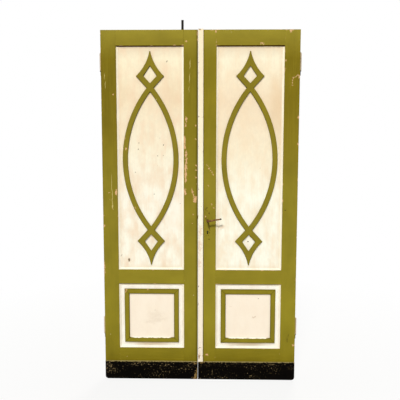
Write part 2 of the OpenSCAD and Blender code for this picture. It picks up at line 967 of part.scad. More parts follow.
in_right_leaf() lock_case();
in_right_leaf() lock_cover();
in_right_leaf() lock_forend();
in_right_leaf() follower();
in_right_leaf() spindle();
in_right_leaf() front_lever();
in_right_leaf() rear_lever();
in_right_leaf() latch();
in_right_leaf() dead_bolt();
in_left_leaf() strike_plate();
in_left_leaf() top_bolt_plate();
in_left_leaf() top_bolt_bar();
in_left_leaf() bottom_bolt_plate();
in_left_leaf() bottom_bolt_bar();
in_left_leaf() hinge_pin(top_hinge_z);  // left_top_hinge_pin
in_left_leaf() hinge_pin(bottom_hinge_z);  // left_bottom_hinge_pin
in_right_leaf() hinge_pin(top_hinge_z);  // right_top_hinge_pin
in_right_leaf() hinge_pin(bottom_hinge_z);  // right_bottom_hinge_pin
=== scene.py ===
import math
import bpy
from mathutils import Matrix, Vector


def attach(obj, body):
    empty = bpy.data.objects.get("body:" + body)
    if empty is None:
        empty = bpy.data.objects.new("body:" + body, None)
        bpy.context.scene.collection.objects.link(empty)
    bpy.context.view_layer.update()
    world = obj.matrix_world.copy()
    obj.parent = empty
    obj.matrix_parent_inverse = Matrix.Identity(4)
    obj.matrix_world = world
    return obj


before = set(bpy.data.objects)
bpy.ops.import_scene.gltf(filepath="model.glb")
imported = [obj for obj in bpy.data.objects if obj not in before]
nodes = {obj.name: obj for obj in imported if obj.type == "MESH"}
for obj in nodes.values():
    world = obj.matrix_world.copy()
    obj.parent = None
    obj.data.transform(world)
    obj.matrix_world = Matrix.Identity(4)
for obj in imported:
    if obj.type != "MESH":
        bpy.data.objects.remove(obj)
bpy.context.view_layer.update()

scene = bpy.context.scene
print("frame loaded:", len(nodes), "nodes")

doorHeight, panelMiddle = 2300, 321.5  # mm, the second from the middle of the doors
noiseLow, noiseMiddle, noiseHigh = 0.3, 0.5, 0.7  # most of a noise texture lies within these
farAway = 9.0  # beyond every place and every arris
pureWhite = (1, 1, 1, 1)


def linear(hexColour):  # sRGB hex to linear RGBA
    parts = [int(hexColour[i:i + 2], 16) / 255 for i in (1, 3, 5)]
    return [p / 12.92 if p <= 0.04045 else ((p + 0.055) / 1.055) ** 2.4 for p in parts] + [1.0]


def perMetre(mm):  # texture scale for a feature of that size
    return 1000 / mm


# A setting is a property, a socket's value, a hex colour or the socket to link
def addNode(tree, kind, settings, out=0):
    node = tree.nodes.new(kind)
    for key, value in settings.items():
        if not (isinstance(key, int) or key in node.inputs):
            setattr(node, key, value)
        elif isinstance(value, bpy.types.NodeSocket):
            tree.links.new(value, node.inputs[key])
        else:
            isColour = isinstance(value, str) and value.startswith("#")
            node.inputs[key].default_value = linear(value) if isColour else value
    return node if out is None else node.outputs[out]


# A material with its shader, Object coordinates and noise fields: mm along X, Y and Z, then the detail
def newMaterial(name, patterns):
    material = bpy.data.materials.new(name)
    material.use_nodes = True
    tree = material.node_tree
    tree.nodes.clear()
    shader = addNode(tree, "ShaderNodeBsdfPrincipled", {}, None)
    addNode(tree, "ShaderNodeOutputMaterial", {"Surface": shader.outputs[0]}, None)
    coords = addNode(tree, "ShaderNodeTexCoord", {}, "Object")
    fields = {}
    for field, (*sizes, detail) in patterns.items():
        scaled = addNode(tree, "ShaderNodeVectorMath", {
            "operation": "MULTIPLY", 0: coords, 1: [perMetre(size) for size in sizes]})
        fields[field] = addNode(tree, "ShaderNodeTexNoise", {
            "Scale": 1.0, "Detail": detail, "Vector": scaled})
    return material, tree, shader, coords, fields


gritDetail = 4.0


# Wear and painted shade lie at listed places: turn in degrees, then x, z, width and height in mm seen from
# the front
def wearMask(tree, coords, depth, group):
    grit = addNode(tree, "ShaderNodeTexNoise", {
        "Scale": perMetre(group["grit"]), "Detail": gritDetail, "Vector": coords}, 1)
    centred = addNode(tree, "ShaderNodeVectorMath", {
        "operation": "SUBTRACT", 0: grit, 1: (noiseMiddle,) * 3})
    stray = 2 * group["reach"] / 1000 / (noiseHigh - noiseLow)
    moved = addNode(tree, "ShaderNodeVectorMath", {
        "operation": "MULTIPLY_ADD", 0: centred, 1: (stray,) * 3, 2: coords})
    nearest = farAway
    for turn, places in group["places"].items():
        turned = moved
        if turn:
            turned = addNode(tree, "ShaderNodeVectorRotate", {
                "rotation_type": "Y_AXIS", "Angle": math.radians(-turn), "Vector": moved})
        for x, z, width, height in places:
            centre = Matrix.Rotation(math.radians(-turn), 3, "Y") @ Vector((x, 0, z))
            local = addNode(tree, "ShaderNodeVectorMath", {
                "operation": "MULTIPLY_ADD", 0: turned, 1: (2000 / width, 0, 2000 / height),
                2: (-2 * centre.x / width, 0, -2 * centre.z / height)})
            length = addNode(tree, "ShaderNodeVectorMath", {"operation": "LENGTH", 0: local}, "Value")
            nearest = addNode(tree, "ShaderNodeMath", {"operation": "MINIMUM", 0: length, 1: nearest})
    facing = "GREATER_THAN" if group.get("behind") else "LESS_THAN"
    onSide = addNode(tree, "ShaderNodeMath", {"operation": facing, 0: depth, 1: 0.0})
    most = addNode(tree, "ShaderNodeMath", {"operation": "MULTIPLY", 0: onSide, 1: group["share"]})
    return addNode(tree, "ShaderNodeMapRange", {
        "interpolation_type": "SMOOTHSTEP", "Value": nearest,
        "From Min": 1.0, "From Max": 1 - group["soft"], "To Max": most})


# Where each noise starts to show in the paint, and where it is full
shown = {"streak": (0.45, 0.75), "stain": (0.42, 0.68), "shade": (0.35, 0.65), "comb": (0.4, 0.7),
         "age": (0.4, 0.68)}
# How crowding and height move the scuffs, how soon scuffs and nicks come in, and what all paints share
paintTouch = {
    "crowd": 0.09, "rise": 0.03, "scuffBlend": 0.14, "nickBlend": 0.04, "nickFade": 0.1, "fleckCore": 0.7,
    "backDirt": 1.5, "roughSpread": 0.06, "brushRelief": 0.4, "bump": {"Strength": 0.6, "Distance": 0.0005}}
lastStop = 0.999  # a new stop of a colour ramp starts here, so that it comes last


# Brushed oil paint on softwood: satin, with blotches and brush marks along the grain, chipped to wood.
# Brush marks and the bare wood's grain are drawn coarser than real, so that they show
def oilPaint(name, look, groups=()):
    material, tree, shader, coords, fields = newMaterial(name, look["patterns"])
    axes = addNode(tree, "ShaderNodeSeparateXYZ", {0: coords}, None)
    x, y, z = axes.outputs
    height = addNode(tree, "ShaderNodeMath", {"operation": "DIVIDE", 0: z, 1: doorHeight / 1000})
    tone = addNode(tree, "ShaderNodeValToRGB", {0: height}, None)
    stops = tone.color_ramp.elements
    for i, (mm, hexColour) in enumerate(look["tone"]):
        stop = stops[i] if i < 2 else stops.new(lastStop)
        stop.position = mm / doorHeight
        stop.color = linear(hexColour)
    share, lift = look["blotchShare"], look.get("lift", 1.0)
    value = addNode(tree, "ShaderNodeMapRange", {
        "Value": fields["blotch"], "From Min": noiseLow, "From Max": noiseHigh,
        "To Min": lift - share, "To Max": lift + share})
    colour = addNode(tree, "ShaderNodeHueSaturation", {"Value": value, "Color": tone.outputs[0]})
    brushed = addNode(tree, "ShaderNodeMapRange", {
        "Value": fields["streak"], "From Min": shown["streak"][0], "From Max": shown["streak"][1],
        "To Max": look["streakShare"]})
    layers = [(brushed, look["streakColour"])]  # masks and colours, from the lowest to the uppermost
    if "stain" in look:  # wide soft stains in another shade
        stained = addNode(tree, "ShaderNodeMapRange", {
            "Value": fields["stain"], "From Min": shown["stain"][0], "From Max": shown["stain"][1],
            "To Max": look["stainShare"]})
        layers.append((stained, look["stain"]))
    if "square" in look:  # bands along a rectangle's sides, in mm outwards from them, on both leaves
        square = look["square"]
        across = addNode(tree, "ShaderNodeMath", {"operation": "ABSOLUTE", 0: x})
        spot = addNode(tree, "ShaderNodeCombineXYZ", {0: across, 2: z})
        (middleX, middleZ), (halfX, halfZ) = square["middle"], square["half"]
        offset = addNode(tree, "ShaderNodeVectorMath", {
            "operation": "SUBTRACT", 0: spot, 1: (middleX / 1000, 0, middleZ / 1000)})
        offset = addNode(tree, "ShaderNodeVectorMath", {"operation": "ABSOLUTE", 0: offset})
        offset = addNode(tree, "ShaderNodeVectorMath", {
            "operation": "SUBTRACT", 0: offset, 1: (halfX / 1000, 0, halfZ / 1000)})
        pastX, _, pastZ = addNode(tree, "ShaderNodeSeparateXYZ", {0: offset}, None).outputs
        rim = addNode(tree, "ShaderNodeMath", {"operation": "MAXIMUM", 0: pastX, 1: pastZ})
        for start, end, bandShare, bandColour in square["bands"]:
            band = addNode(tree, "ShaderNodeMapRange", {
                "Value": rim, "From Min": start / 1000, "From Max": end / 1000, "To Max": bandShare})
            layers.append((band, bandColour))
        if "mitre" in square:  # dirt in the joints at the corners
            mitre = square["mitre"]
            skew = addNode(tree, "ShaderNodeMath", {"operation": "SUBTRACT", 0: pastX, 1: pastZ})
            skew = addNode(tree, "ShaderNodeMath", {"operation": "ABSOLUTE", 0: skew})
            joint = addNode(tree, "ShaderNodeMapRange", {
                "Value": skew, "From Min": mitre["width"] / 1000, "From Max": 0.0,
                "To Max": mitre["share"]})
            layers.append((joint, mitre["colour"]))
    if "scuff" in look:  # rubbed spots, thick in some places and thin in others, more towards the top
        crowd = addNode(tree, "ShaderNodeMapRange", {
            "Value": fields["crowd"], "From Min": noiseLow, "From Max": noiseHigh,
            "To Min": -paintTouch["crowd"], "To Max": paintTouch["crowd"]})
        rise = addNode(tree, "ShaderNodeMapRange", {
            "Value": z, "From Max": look["scuffHeight"] / 1000,
            "To Min": -paintTouch["rise"], "To Max": paintTouch["rise"]})
        crowd = addNode(tree, "ShaderNodeMath", {"operation": "ADD", 0: crowd, 1: rise})
        rubbed = addNode(tree, "ShaderNodeMath", {"operation": "ADD", 0: fields["scuff"], 1: crowd})
        shade = addNode(tree, "ShaderNodeMapRange", {
            "Value": fields["shade"], "From Min": shown["shade"][0], "From Max": shown["shade"][1]})
        rubColour = addNode(tree, "ShaderNodeMix", {
            "data_type": "RGBA", 0: shade, 6: look["scuff"][0], 7: look["scuff"][1]}, 2)
        rubMask = addNode(tree, "ShaderNodeMapRange", {
            "Value": rubbed, "From Min": look["scuffFrom"],
            "From Max": look["scuffFrom"] + paintTouch["scuffBlend"]})
        layers.append((rubMask, rubColour))
    if "fleck" in look:  # small chips, one to a cell in a few of the cells
        fleck = look["fleck"]
        cells = addNode(tree, "ShaderNodeTexVoronoi", {
            "Scale": perMetre(fleck["apart"]), "Vector": coords}, None)
        chance = addNode(tree, "ShaderNodeSeparateColor", {0: cells.outputs["Color"]})
        chosen = addNode(tree, "ShaderNodeMath", {
            "operation": "GREATER_THAN", 0: chance, 1: 1 - fleck["share"]})
        reach = fleck["size"] / fleck["apart"] / 2
        dot = addNode(tree, "ShaderNodeMapRange", {
            "Value": cells.outputs["Distance"], "From Min": reach,
            "From Max": reach * paintTouch["fleckCore"], "To Max": chosen})
        layers.append((dot, fleck["colour"]))
    if "nicks" in look:  # bare wood along arrises that run at these mm from the middle or the floor
        nicks = look["nicks"]
        along = addNode(tree, "ShaderNodeMath", {"operation": "ABSOLUTE", 0: axes.outputs[nicks["axis"]]})
        inset = farAway
        for mm in nicks["at"]:
            apart = addNode(tree, "ShaderNodeMath", {"operation": "SUBTRACT", 0: along, 1: mm / 1000})
            apart = addNode(tree, "ShaderNodeMath", {"operation": "ABSOLUTE", 0: apart})
            inset = addNode(tree, "ShaderNodeMath", {"operation": "MINIMUM", 0: apart, 1: inset})
        fade = addNode(tree, "ShaderNodeMath", {
            "operation": "MULTIPLY", 0: inset, 1: paintTouch["nickFade"] * perMetre(nicks["depth"])})
        bite = addNode(tree, "ShaderNodeMath", {"operation": "SUBTRACT", 0: fields["nick"], 1: fade})
        inFront = addNode(tree, "ShaderNodeMath", {
            "operation": "LESS_THAN", 0: y, 1: nicks["before"] / 1000})
        bitten = addNode(tree, "ShaderNodeMapRange", {
            "Value": bite, "From Min": nicks["start"],
            "From Max": nicks["start"] + paintTouch["nickBlend"], "To Max": inFront})
        layers.append((bitten, nicks["colour"]))
    if "undersideShade" in look:  # painted shade, in brown, where the surface turns to the floor
        low = addNode(tree, "ShaderNodeAttribute", {"attribute_name": "undersideShade"}, "Fac")
        layers.append((low, look["undersideShade"]))
    if "back" in look:  # the other side of the leaf has its own coat, dirty at the foot
        back = look["back"]
        behind = addNode(tree, "ShaderNodeMath", {
            "operation": "GREATER_THAN", 0: y, 1: back["from"] / 1000})
        combed = addNode(tree, "ShaderNodeMapRange", {
            "Value": fields["streak"], "From Min": shown["comb"][0], "From Max": shown["comb"][1],
            "To Max": back["streakShare"]})
        aged = addNode(tree, "ShaderNodeMapRange", {
            "Value": fields.get("stain", fields["blotch"]),
            "From Min": shown["age"][0], "From Max": shown["age"][1], "To Max": back["ageShare"]})
        low = addNode(tree, "ShaderNodeMapRange", {
            "Value": z, "From Max": back["dirtHeight"] / 1000,
            "To Min": paintTouch["backDirt"], "To Max": 0.0})
        dirt = addNode(tree, "ShaderNodeMath", {"operation": "MULTIPLY", 0: low, 1: fields["blotch"]})
        coat = back["coat"]
        for mask, over in ((combed, back["streak"]), (aged, back["age"]), (dirt, back["dirt"])):
            coat = addNode(tree, "ShaderNodeMix", {"data_type": "RGBA", 0: mask, 6: coat, 7: over}, 2)
        layers.append((behind, coat))
    relief = addNode(tree, "ShaderNodeMath", {
        "operation": "MULTIPLY", 0: fields["streak"], 1: paintTouch["brushRelief"]})
    # Each group, wear or painted shade, lies over the paint in its own two colours
    for group in groups:
        wornOrShaded = wearMask(tree, coords, y, group)
        bare = addNode(tree, "ShaderNodeMix", {
            "data_type": "RGBA", 0: fields["bareGrain"], 6: group["deep"], 7: group["pale"]}, 2)
        layers.append((wornOrShaded, bare))
        sunk = addNode(tree, "ShaderNodeMath", {"operation": "MULTIPLY", 0: wornOrShaded, 1: group["sink"]})
        relief = addNode(tree, "ShaderNodeMath", {"operation": "SUBTRACT", 0: relief, 1: sunk})
    for mask, over in layers:
        colour = addNode(tree, "ShaderNodeMix", {"data_type": "RGBA", 0: mask, 6: colour, 7: over}, 2)
    spread = paintTouch["roughSpread"]
    rough = addNode(tree, "ShaderNodeMapRange", {
        "Value": fields["blotch"], "From Min": noiseLow, "From Max": noiseHigh,
        "To Min": look["rough"] - spread, "To Max": look["rough"] + spread})
    bump = addNode(tree, "ShaderNodeBump", {**paintTouch["bump"], "Height": relief})
    tree.links.new(colour, shader.inputs["Base Color"])
    tree.links.new(rough, shader.inputs["Roughness"])
    tree.links.new(bump, shader.inputs["Normal"])
    shader.inputs["Specular IOR Level"].default_value = look["shine"]
    return material


uprightGrain = (2.5, 2.5, 40, 3)
# Kinds of wear, and one of painted shade: two colours, the outline's grain and stray in mm, its softness,
# how much it covers and sinks
chipped = {"deep": "#c49766", "pale": "#e4bd8d", "grit": 8, "reach": 6, "soft": 0.3, "share": 1.0,
           "sink": 0.7}
scratched = {"deep": "#b7a552", "pale": "#dccb8e", "grit": 24, "reach": 3, "soft": 0.6, "share": 0.9,
             "sink": 0.4}
scarred = {"deep": "#33290a", "pale": "#4c4010", "grit": 6, "reach": 3, "soft": 0.5, "share": 0.9,
           "sink": 0.4}
# painted shade, with some dirt, for the stiles beside the cover strip
shadeAndDirtBesideStrip = {"deep": "#453d0a", "pale": "#524a10", "grit": 30, "reach": 1, "soft": 0.6, "share": 0.9,
         "sink": 0.0}
handled = {"deep": "#a48a61", "pale": "#bfa780", "grit": 34, "reach": 8, "soft": 0.95, "share": 0.5,
           "sink": 0.0, "behind": True}
creamBack = {"from": 19.2, "coat": "#f2e7cc", "streak": "#dfcda6", "streakShare": 0.5, "age": "#dcc79c",
             "ageShare": 0.6, "dirt": "#85724f", "dirtHeight": 180}

# Olive-green oil paint of the stiles: upright brush marks, a little darker towards the top as painted shade
# that evens out the lamp's stronger light there
greenPatterns = {"blotch": (90, 90, 150, 3), "streak": (9, 9, 180, 3), "bareGrain": uprightGrain}
stileLook = {
    "tone": [(124, "#7a6d13"), (213, "#85791e"), (420, "#8f8424"), (700, "#8d8126"), (1300, "#877b24"),
             (1700, "#7d6e18"), (2120, "#786912"), (2300, "#95882d")],
    "patterns": {**greenPatterns, "nick": (14, 14, 24, 4)},
    "blotchShare": 0.09, "streakColour": "#988b2a", "streakShare": 0.2, "rough": 0.55, "shine": 0.06,
    "fleck": {"colour": "#e6d3a0", "apart": 40, "size": 5, "share": 0.07}, "back": creamBack,
    "nicks": {"axis": 0, "at": (105, 538, 636), "depth": 3, "before": -18.6, "start": 0.58,
              "colour": "#d3ad7d"},
}
leftHingeStileScratches = {**scratched, "places": {
    0: [(-577, 1330, 4, 150), (-574, 1225, 5, 160)],
    3: [(-612, 2010, 4, 50), (-609, 1955, 4, 60), (-573, 1170, 9, 40)]}}
leftHingeStileWear = {**chipped, "places": {
    0: [(-630, 1043, 12, 18), (-633, 762, 9, 100), (-635, 1109, 8, 14), (-571, 1150, 7, 7),
        (-560, 1895, 9, 10), (-592, 1263, 6, 6), (-590, 1215, 5, 6)],
    8: [(-548, 1265, 14, 44)]}}
# painted shade, with some dirt, on the left meeting stile beside the strip
meetingStileShadeAndDirt = {  # along the strip
    **shadeAndDirtBesideStrip, "share": 0.65, "soft": 0.9, "places": {0: [(-19, 1150, 26, 9000)]}}
leftMeetingStileScratches = {**scratched, "places": {
    4: [(-64, 2085, 5, 80), (-67, 2000, 4, 90), (-70, 1930, 3, 60)]}}
leftMeetingStileWear = {**chipped, "places": {
    0: [(-90, 1735, 13, 40), (-93, 1700, 9, 28), (-101, 1605, 18, 60), (-99, 1560, 14, 40),
        (-89, 1515, 13, 60), (-92, 1425, 17, 60), (-93, 1375, 15, 60), (-93, 1345, 14, 40),
        (-98, 1275, 16, 40), (-94, 1255, 14, 24), (-25, 1232, 14, 20), (-89, 2228, 9, 9),
        (-17, 2280, 8, 40), (-17, 2240, 6, 26), (-43, 1120, 7, 8), (-48, 1061, 7, 8), (-26, 1697, 8, 9),
        (-27, 1610, 8, 8), (-25, 1440, 8, 10), (-28, 1410, 9, 9), (-25, 1365, 8, 11), (-25, 1320, 6, 8)],
    -12: [(-50, 1275, 9, 46), (-42, 1245, 9, 40), (-33, 1215, 20, 44)], 6: [(-89, 1470, 14, 50)]}}
rightHingeStileWear = {**chipped, "places": {
    0: [(576, 2295, 28, 14), (576, 2286, 13, 11), (548, 2300, 12, 7), (590, 1952, 7, 10),
        (588, 1968, 7, 10), (589, 1985, 8, 11), (631, 2003, 8, 20), (632, 1749, 11, 18), (633, 1578, 9, 18),
        (540, 1212, 8, 20), (543, 2110, 7, 14), (541, 2060, 6, 10)],
    -30: [(597, 2000, 14, 8), (610, 2010, 15, 8)], 15: [(625, 2014, 16, 8)], -20: [(628, 241, 26, 16)]}}
rightHingeStileScars = {**scarred, "places": {
    0: [(585, 275, 6, 44), (558, 1150, 15, 7)], 12: [(592, 305, 5, 34)]}}
# painted shade, with some dirt, on the right meeting stile beside the strip
stripEdgeShadeAndDirt = {**shadeAndDirtBesideStrip, "places": {0: [(22, 1150, 10, 9000)]}}
leverScars = {**scarred, "deep": "#43330f", "pale": "#5c4a17", "places": {
    0: [(61, 1130, 7, 20), (33, 1135, 6, 13), (63, 1000, 6, 18), (66, 1015, 6, 11)],
    -25: [(44, 1163, 20, 6), (38, 1152, 12, 6), (60, 955, 16, 7)],
    30: [(46, 1144, 14, 5), (57, 981, 12, 6)],
    -10: [(56, 1058, 6, 30), (62, 1032, 7, 40), (40, 1095, 7, 20)]}}
# near-black round the keyhole: painted shade of the hole
keyholeShade = {
    **scarred, "deep": "#0c0804", "pale": "#151008", "reach": 0.5, "soft": 0.25, "share": 1.0,
    "places": {0: [(51, 1007, 12, 13), (51, 999, 9, 23)]}}
rightMeetingStileWear = {**chipped, "places": {
    0: [(106, 2225, 6, 22), (104, 2207, 7, 14), (45, 1445, 8, 8), (52, 1436, 7, 7), (60, 1424, 8, 8),
        (70, 1410, 9, 10), (80, 1396, 8, 10), (86, 1382, 10, 11), (47, 171, 14, 14), (77, 1187, 8, 10),
        (90, 1163, 9, 10), (35, 1105, 8, 11), (57, 1310, 6, 12)],
    -30: [(80, 2299, 30, 7), (100, 2290, 10, 16)], -10: [(107, 2274, 6, 22)]}}
leverHandling = {**handled, "places": {
    0: [(75, 1078, 170, 150), (55, 1004, 70, 70), (40, 1200, 60, 200)]}}
leftBackWear = {**chipped, "behind": True, "places": {
    0: [(-20, 1320, 8, 30), (-19, 690, 9, 50), (-22, 40, 12, 26), (-114, 118, 9, 34), (-98, 1760, 8, 16)]}}
meetingLook = {**stileLook, "tone": [
    (124, "#7a6d13"), (213, "#85791e"), (420, "#8f8424"), (700, "#8d8126"), (1300, "#897d25"),
    (1700, "#82751c"), (2120, "#7f7217"), (2300, "#95882d")]}
stileFinish = {
    "left_hinge_stile": oilPaint(
        "greenOilPaintLeftHingeStile", {**stileLook, "lift": 0.92},
        [leftHingeStileScratches, leftHingeStileWear]),
    "left_meeting_stile": oilPaint(
        "greenOilPaintLeftMeetingStile", {**meetingLook, "lift": 0.96},
        [meetingStileShadeAndDirt, leftMeetingStileScratches, leftMeetingStileWear, leftBackWear]),
    "right_hinge_stile": oilPaint(
        "greenOilPaintRightHingeStile", stileLook, [rightHingeStileScars, rightHingeStileWear]),
    "right_meeting_stile": oilPaint(
        "greenOilPaintRightMeetingStile", {**meetingLook, "lift": 1.04},
        [stripEdgeShadeAndDirt, leverScars, keyholeShade, rightMeetingStileWear, leverHandling]),
}

# The same paint on the rails, brushed from side to side
railLook = {**stileLook, "lift": 0.98, "patterns": {
    "blotch": (150, 90, 90, 3), "streak": (180, 9, 9, 3), "nick": (24, 14, 14, 4),
    "bareGrain": (40, 2.5, 2.5, 3)},
    "nicks": {**stileLook["nicks"], "axis": 2, "at": (213, 655, 749, 2203, 2300)}}
railWear = {**chipped, "places": {
    0: [(391, 2216, 13, 10), (404, 2210, 9, 8), (384, 2213, 7, 7), (-543, 138, 6, 6), (-490, 152, 6, 6)],
    12: [(543, 184, 13, 28)]}}
railBackWear = {**chipped, "behind": True, "places": {
    0: [(-430, 8, 50, 12), (-260, 6, 90, 10), (190, 8, 60, 14), (410, 6, 80, 10), (330, 30, 16, 9)]}}
greenRail = oilPaint("greenOilPaintRail", railLook, [railWear, railBackWear])

# The same paint on the fretwork, without bare wood along the arrises, with painted shade on its undersides
plainGreen = {key: value for key, value in stileLook.items() if key != "nicks"}
plainGreen["patterns"] = greenPatterns
# the undersideShade colour is painted shade on the sides that face the floor
fretLook = {**plainGreen, "lift": 0.97, "undersideShade": "#3d2a0d",
            "tone": [(0, "#8b8024"), (800, "#887c24"), (1500, "#877a25"), (2300, "#80721b")]}
fretWear = {**chipped, "places": {0: [(-480, 1548, 10, 12), (-425, 1164, 9, 11), (-486, 1617, 13, 5)]}}
greenFret = oilPaint("greenOilPaintFretwork", fretLook, [fretWear])

# The same paint on the square mouldings, darker along both edges of each stick: painted shade of the rounded
# profile, with some dirt
squareMoulding = {"middle": (panelMiddle, 434), "half": (181.5, 183)}
mouldingLook = {**fretLook, "square": {**squareMoulding, "bands": [
    (-7, -1, 0.45, "#544a0f"), (-25, -31, 0.5, "#544a0f")],
    "mitre": {"width": 3.5, "share": 0.8, "colour": "#3f3709"}}, "shine": 0.02}
mouldingWear = {**chipped, "places": {0: [(-488, 611, 14, 10), (-495, 600, 8, 16), (-348, 612, 14, 7)]}}
creamSlips = {  # cream from the panel on the top of the lower stick
    "deep": "#fffbe9", "pale": "#fffdf3", "grit": 14, "reach": 1.5, "soft": 0.3, "share": 1.0, "sink": 0.0,
    "places": {0: [(side * panelMiddle + offset, 287, 110, 13)
                   for side in (-1, 1) for offset in (-95, -32, 32, 95)]}}
greenMoulding = oilPaint("greenOilPaintMoulding", mouldingLook, [mouldingWear, creamSlips])
arrisLook = {**plainGreen, "tone": [(0, "#776b19"), (2300, "#6d6015")], "streakShare": 0.1, "shine": 0.0,
             "fleck": {**stileLook["fleck"], "apart": 30, "share": 0.1}}
greenArris = oilPaint("greenOilPaintArris", arrisLook)  # darker along the arrises
fretArrisLook = {**arrisLook, "tone": [(0, "#7f7420"), (2300, "#74671a")], "undersideShade": "#2b1c08"}
greenFretArris = oilPaint("greenOilPaintFretArris", fretArrisLook)  # lighter than the stiles' arrises, with painted shade on the undersides

# Cream oil paint over softwood boards: the boards' grain shows through as faint warm streaks and stains
panelBack = {**creamBack, "from": 5.5}
creamLook = {
    # darker towards the top: painted shade that evens out the lamp's stronger light there, darkest just
    # under the top rail
    "tone": [(760, "#faf8e9"), (1250, "#f8f5e6"), (1520, "#f4edd6"), (1850, "#efe0c2"), (2120, "#f4ebce"),
             (2190, "#e6d7bb")],
    "patterns": {"blotch": (15, 15, 24, 3), "streak": (6, 6, 120, 3), "stain": (65, 65, 130, 5),
                 "bareGrain": uprightGrain},
    "blotchShare": 0.03, "streakColour": "#eedabb", "streakShare": 0.3, "stain": "#ecd2b2",
    "stainShare": 0.65, "rough": 0.5, "shine": 0.15, "back": panelBack,
    # the band darkens the panel towards the frame round it: painted shade
    "square": {"middle": (panelMiddle, 1476), "half": (203.5, 714), "bands": [(-26, 0, 0.35, "#e2cdad")]},
}
specked = {"deep": "#6a5a40", "pale": "#8a775a", "grit": 8, "reach": 3, "soft": 0.5, "share": 1.0,
           "sink": 0.6}
panelSpecks = {**specked, "places": {
    0: [(-470, 812, 17, 30), (-261, 1618, 7, 6), (-238, 1571, 8, 9), (-396, 1584, 8, 7), (-401, 1544, 8, 7),
        (-277, 1500, 6, 6), (-422, 1395, 8, 8), (-299, 1251, 8, 8), (317, 939, 12, 6), (-277, 1440, 5, 5),
        (-240, 1505, 5, 5), (-130, 1482, 7, 9), (-130, 1190, 5, 5), (390, 1425, 6, 6)],
    30: [(-523, 839, 4, 28), (-212, 2105, 7, 15)]}}
yellowing = {"deep": "#d8b98f", "pale": "#e6cca6", "grit": 90, "reach": 24, "soft": 0.98, "share": 0.55,
             "sink": 0.0}
leftYellowing = {**yellowing, "share": 0.3, "places": {
    0: [(-170, 1900, 170, 420), (-500, 1900, 150, 320)]}}
leftPaling = {**yellowing, "deep": "#fbf7ea", "pale": "#fffcf0", "share": 0.7,
              "places": {0: [(-165, 1130, 150, 360)]}}
creamLeftPanel = oilPaint("creamOilPaintLeftPanel", creamLook, [leftYellowing, leftPaling, panelSpecks])
rightPanelLook = {  # more tan above and whiter below
    **creamLook, "stain": "#efd9b8", "stainShare": 0.55,
    # the last stop darkens the panel just under the top rail: painted shade
    "tone": [(760, "#fafaec"), (1250, "#fafaea"), (1520, "#f4ead0"), (1850, "#eedcbf"), (2120, "#f6efd5"),
             (2190, "#e6d9bf")]}
rustAndShadowBelowLever = {  # rust, and the lever's painted shadow, below its tip
    "deep": "#dfb78e", "pale": "#eecfae", "grit": 20, "reach": 8, "soft": 0.95, "share": 0.6, "sink": 0.0,
    "places": {0: [(145, 1034, 64, 36)]}}
rightYellowing = {**yellowing, "places": {0: [(500, 1800, 190, 640)]}}
creamRightPanel = oilPaint(
    "creamOilPaintRightPanel", rightPanelLook, [rightYellowing, rustAndShadowBelowLever, panelSpecks])

# The lower panels are whiter round the moulding than inside it
lowerPanelLook = {
    **creamLook, "tone": [(213, "#fffdf3"), (655, "#fffcf1")], "streakShare": 0.15, "stain": "#ecdcc8",
    "stainShare": 0.38, "blotchShare": 0.035,
    "square": {**squareMoulding, "bands": [(-20, -36, 0.7, "#f9ead5")]}}
lowerSmudges = {
    "deep": "#d3c2ab", "pale": "#e4d2bb", "grit": 26, "reach": 16, "soft": 0.95, "share": 0.34, "sink": 0.0,
    "places": {-14: [(-297, 434, 150, 90), (-284, 402, 200, 50), (-335, 392, 110, 44)],
               -25: [(355, 428, 40, 26), (208, 500, 34, 24)]}}
lowerSpecks = {**specked, "places": {
    0: [(391, 555, 7, 7), (-300, 470, 4, 4), (516, 600, 7, 9)]}}
lowerScratch = {**specked, "deep": "#b0865a", "pale": "#c9a67c", "places": {
    40: [(356, 424, 18, 5)], -40: [(370, 428, 15, 5)]}}
shadowBelowSticks = {  # painted shadow below the lower sticks
    "deep": "#c3ad8b", "pale": "#cfbb9b", "grit": 30, "reach": 2, "soft": 0.9, "share": 0.85, "sink": 0.0,
    "places": {0: [(-panelMiddle, 240, 440, 46), (panelMiddle, 240, 440, 46)]}}
creamLowerPanel = oilPaint(
    "creamOilPaintLowerPanel", lowerPanelLook, [lowerSmudges, lowerSpecks, lowerScratch, shadowBelowSticks])

# Beads in the same cream, darker towards the top rails, with painted shade and some dirt under the top rails
# and painted shade under the middle rails
beadLook = {key: value for key, value in creamLook.items() if key != "square"}
beadLook = {**beadLook, "tone": [(0, "#fffbec"), (2175, "#fef6de"), (2203, "#efe0c4")],
            "stainShare": 0.25, "shine": 0.05}
# painted shade with some dirt under the top rails
shadeAndDirtUnderTopRail = {
    "deep": "#3f2209", "pale": "#4f2f12", "grit": 20, "reach": 0.5, "soft": 0.35, "share": 1.0, "sink": 0.0,
    "places": {0: [(-panelMiddle, 2202, 4000, 17), (panelMiddle, 2202, 4000, 17)]}}
# painted shade under the middle rails
shadeUnderMiddleRail = {**shadeAndDirtUnderTopRail, "share": 0.8, "places": {
    0: [(-panelMiddle, 655, 4000, 12), (panelMiddle, 655, 4000, 12)]}}
creamBead = oilPaint("creamOilPaintBead", beadLook, [shadeAndDirtUnderTopRail, shadeUnderMiddleRail])

